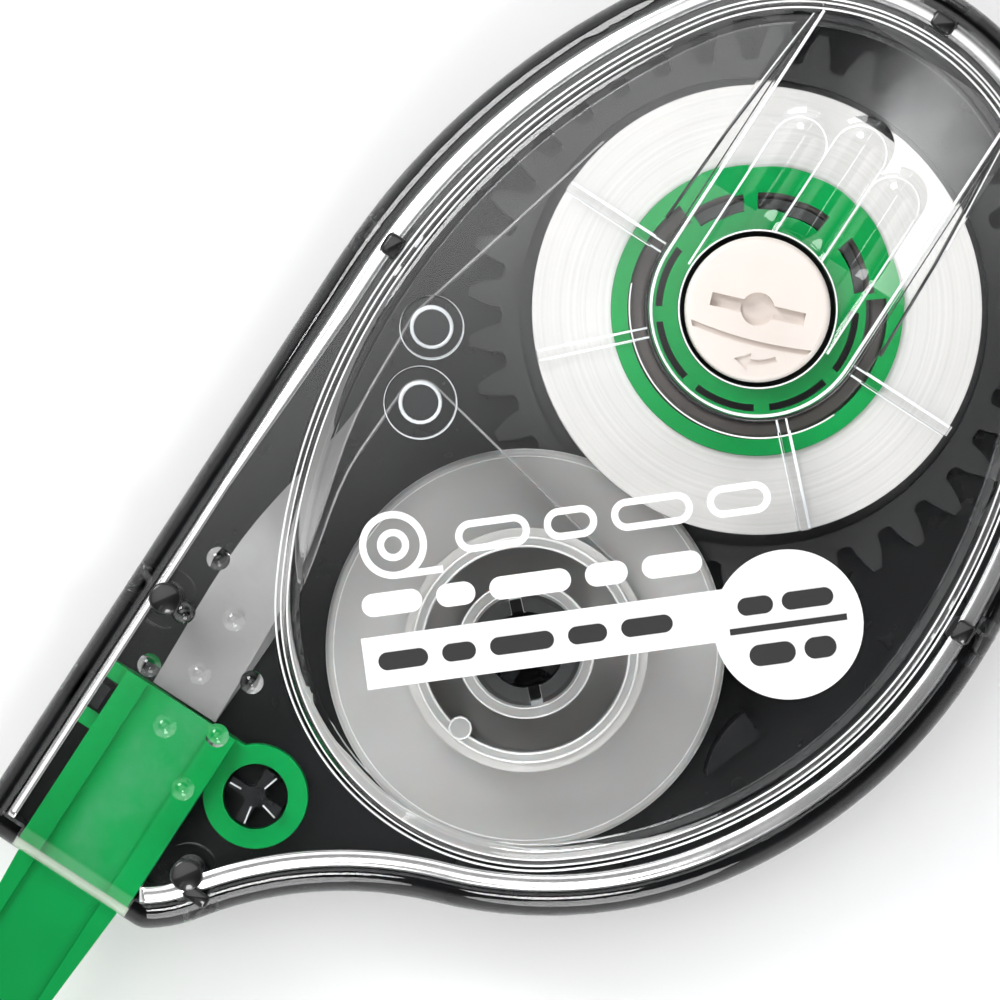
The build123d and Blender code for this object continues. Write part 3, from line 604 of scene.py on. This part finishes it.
def peg_heads():
    """The black heads of the case's pegs, standing in the cover's holes."""
    look = black_case()
    look.material.name = "peg_look"
    look.set(Coat_Weight=0.6)
    bm = bmesh.new()
    low = RIM_TOP - 0.4
    square_top, round_top, key_top = 12.32, 12.3, 12.25
    round_radius = 0.92
    for entry in SQUARE_PEGS:
        rounded_block(bm, rounded_rectangle(*entry), low, square_top)
    for place in ROUND_PEGS:
        rounded_block(bm, arc_points(place, round_radius, 0, 2 * pi)[:-1], low, round_top)
    rounded_block(bm, rounded_rectangle(*NOSE_KEY, 0.2), low, key_top)
    finish_piece("case_peg_heads", bm, look, "case")


def pin_rings():
    """Pale rings round the rounded mouths of the cover's tubes over the two guide pins: painted
    highlights on their edges.
    """
    look = edge_look("pin_highlight_look", (0.55, 0.55, 0.55), (0.75, 0.75, 0.75), 0.25)
    runs = []
    for centre, outer in GUIDE_PINS:
        runs.append((circle_path(centre, 1.13, 10.45), 0.11, True))
        runs.append((circle_path(centre, outer, 9.95), 0.04, True))
    beads("guide_pin_rings", runs, look, "case", "cover_clear")


def mouth_lip():
    """The thicker front edge of the cover over the head."""
    look = edge_look("mouth_lip_look", (0.42, 0.45, 0.38), (0.58, 0.6, 0.52), 0.35, 0.5)
    tenths = range(113, 189)
    path = [(X_MOUTH + 0.45, y / 10, RIM_TOP - 0.9) for y in tenths]
    beads("cover_mouth_lip", [(path, 0.32, False)], look, "case", "cover_clear")


def spool_lines():
    """Pale beads on the rounded edges of the take-up spool's walls and flange: painted highlight
    lines.
    """
    look = edge_look("spool_highlight_look", (0.7, 0.68, 0.66), (0.86, 0.84, 0.82), 0.25)
    circles = (
        (6.34, 9.7, 0.07),
        (5.86, 9.7, 0.07),
        (3.85, 8.9, 0.07),
        (3.3, 8.92, 0.05),
        (11.3, 4.55, 0.09),
        (10.95, 4.82, 0.04),
    )
    runs = [(circle_path(TAKEUP, radius, level), size, True) for radius, level, size in circles]
    reach, angle = 5.75, radians(173)
    pip = (TAKEUP[0] + reach * cos(angle), TAKEUP[1] + reach * sin(angle))
    runs.append((circle_path(pip, 0.62, 9.9), 0.06, True))
    beads("takeup_spool_edges", runs, look, "takeup", "spool_grey")


def snap_arm_lines():
    """Pale beads on the edges of the snap arms in the take-up hub: painted highlight lines."""
    look = edge_look("snap_highlight_look", (0.6, 0.59, 0.58), (0.8, 0.79, 0.78), 0.3)
    reaches = (2.1, 2.95)
    half_width = 0.4
    level = 9.45
    runs = []
    for angle in (45, 135, 225, 315):
        for side in (-half_width, half_width):
            runs.append((spoke(TAKEUP, angle, reaches, side, level), 0.07, False))
    beads("takeup_snap_edges", runs, look, "takeup", "gear_black")


def eye_post_lines():
    """Pale beads on the edges of the crossed ribs in the head's eye: painted highlight lines."""
    look = edge_look("post_highlight_look", (0.5, 0.5, 0.5), (0.7, 0.7, 0.7), 0.3)
    ribs = ((93, 0.9, 1.62), (-17, 0.7, 1.6), (-169, 0.6, 1.62), (-104, 0.65, 1.62))
    runs = [(spoke(EYE, angle, (start, end), 0.0, 9.42), 0.05, False) for angle, start, end in ribs]
    beads("eye_post_edges", runs, look, "case", "case_black")


rim_band()
eye_post_lines()
peg_heads()
dome_lines()
channel_lines()
channel_shadow_lines()
rib_lines()
pin_rings()
mouth_lip()
spool_lines()
snap_arm_lines()


# ---- floor, light and camera --------------------------------------------------------------
def stage():
    bpy.ops.mesh.primitive_plane_add(size=4.0, location=(0, 0, -0.0002))
    floor = bpy.context.object
    floor.name = "floor"
    look = Shader("floor_look")
    look.set(Base_Color=(0.96, 0.96, 0.96, 1))
    look.vary_roughness(0.7, 0.8, 0.01)
    floor.data.materials.append(look.material)


UPHILL = (0.545, 0.838, 0.0)
OVERHEAD_SPAN = (-0.02, 0.055)
OVERHEAD_GLOW = 2.7
OVERHEAD_RISE = (0.80, 0.97)
SIDE_RISE = (0.75, 0.25)
SIDE_GLOW = 1.35
PANEL_X = (-0.24, -0.29)
PANEL_Y_NEAR = (-0.0115, -0.0145)
PANEL_Y_FAR = (-0.034, -0.014)
PANEL_GLOW = 9.0


def world():
    """Soft studio surround: bright towards the straight side, dark overhead on the other.

    A small bright panel is placed where only the thumb channel's ramp mirrors it.
    """
    made = bpy.data.worlds.new("studio")
    bpy.context.scene.world = made
    made.use_nodes = True
    graph = Graph(made.node_tree)
    coords = graph.add("ShaderNodeTexCoord")
    split = graph.add("ShaderNodeSeparateXYZ")
    graph.link(coords, "Generated", split, "Vector")
    x, y, z = (split.outputs[axis] for axis in "XYZ")
    slope = graph.add("ShaderNodeVectorMath", operation="DOT_PRODUCT")
    slope.inputs[1].default_value = UPHILL
    graph.link(coords, "Generated", slope, 0)
    kind = "SMOOTHERSTEP"
    over = graph.smooth(slope.outputs["Value"], *OVERHEAD_SPAN, 0.0, OVERHEAD_GLOW, kind)
    side = graph.smooth(z, *SIDE_RISE, 0.0, SIDE_GLOW, kind)
    top = graph.smooth(z, *OVERHEAD_RISE, kind=kind)
    total = graph.math("ADD", graph.math("MULTIPLY", over, top), side)
    near = graph.smooth(y, *PANEL_Y_NEAR, 0.0, PANEL_GLOW)
    panel = graph.math("MULTIPLY", graph.smooth(x, *PANEL_X), near)
    panel = graph.math("MULTIPLY", panel, graph.smooth(y, *PANEL_Y_FAR))
    background = graph.add("ShaderNodeBackground")
    graph.tree.links.new(graph.math("ADD", total, panel), background.inputs["Strength"])
    output = graph.add("ShaderNodeOutputWorld")
    graph.link(background, "Background", output, "Surface")


def area(name, place, aim, size, power):
    light = bpy.data.lights.new(name, "AREA")
    light.shape = "DISK"
    light.size = size
    light.energy = power
    holder = bpy.data.objects.new(name, light)
    bpy.context.collection.objects.link(holder)
    holder.location = place
    holder.rotation_euler = (Vector(aim) - Vector(place)).to_track_quat("-Z", "Y").to_euler()


CAMERA_HEIGHT = 0.5
VIEW_CENTRE = (5.69 * MM, 6.32 * MM)
VIEW_WIDTH = 56.5 * MM
SCALE_LEVEL = 9.5 * MM
VIEW_TURN = -57
SENSOR_WIDTH = 36


def camera():
    data = bpy.data.cameras.new("camera")
    data.sensor_width = SENSOR_WIDTH
    data.lens = SENSOR_WIDTH * (CAMERA_HEIGHT - SCALE_LEVEL) / VIEW_WIDTH
    holder = bpy.data.objects.new("camera", data)
    bpy.context.collection.objects.link(holder)
    holder.location = (*VIEW_CENTRE, CAMERA_HEIGHT)
    holder.rotation_euler = (0, 0, radians(VIEW_TURN))
    bpy.context.scene.camera = holder


stage()
world()
area("key", (0.15, 0.45, 0.45), (0, 0, 0), 0.3, 3.0)
area("fill", (-0.35, -0.3, 0.3), (0, 0, 0), 0.3, 1.5)
area("waist", (-0.19, -0.13, 0.46), (-0.01, 0, 0), 0.1, 0.5)
camera()
bpy.context.scene.view_settings.view_transform = "Standard"
